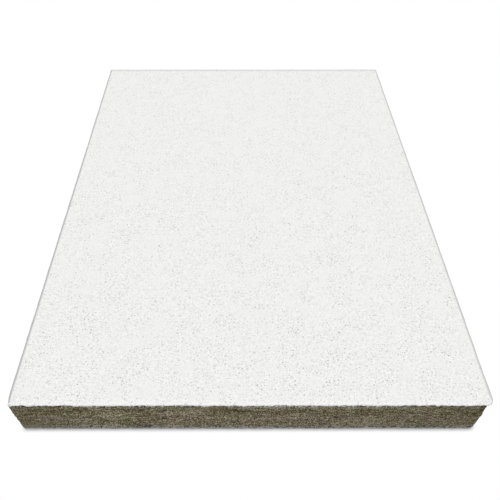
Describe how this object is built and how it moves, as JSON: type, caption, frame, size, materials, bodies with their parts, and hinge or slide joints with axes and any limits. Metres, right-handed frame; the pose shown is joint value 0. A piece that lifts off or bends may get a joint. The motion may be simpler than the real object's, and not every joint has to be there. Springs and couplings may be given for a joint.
{
  "type": "suspended ceiling tile",
  "caption": "Flat rectangular stone-wool ceiling tile: white speckled painted face, raw square-cut fibrous sides and a thin grey backing. Lies in a ceiling grid as infill.",
  "frame": {"origin": "centre of the underside, on the back fleece", "axes": "+X from the left cut side to the right one, +Y from the front cut side to the far one, +Z towards the painted face"},
  "size_m": [0.1524, 0.2032, 0.0191],
  "materials": {
    "stone_wool": "raw sawn fibre, olive brown, matt",
    "painted_fleece": "matt white paint with fine grey pinholes",
    "grey_fleece": "unpainted non-woven fleece, matt"
  },
  "bodies": {
    "root": {"core_board": "stone_wool", "face_fleece": "painted_fleece", "back_fleece": "grey_fleece"}
  },
  "joints": []
}
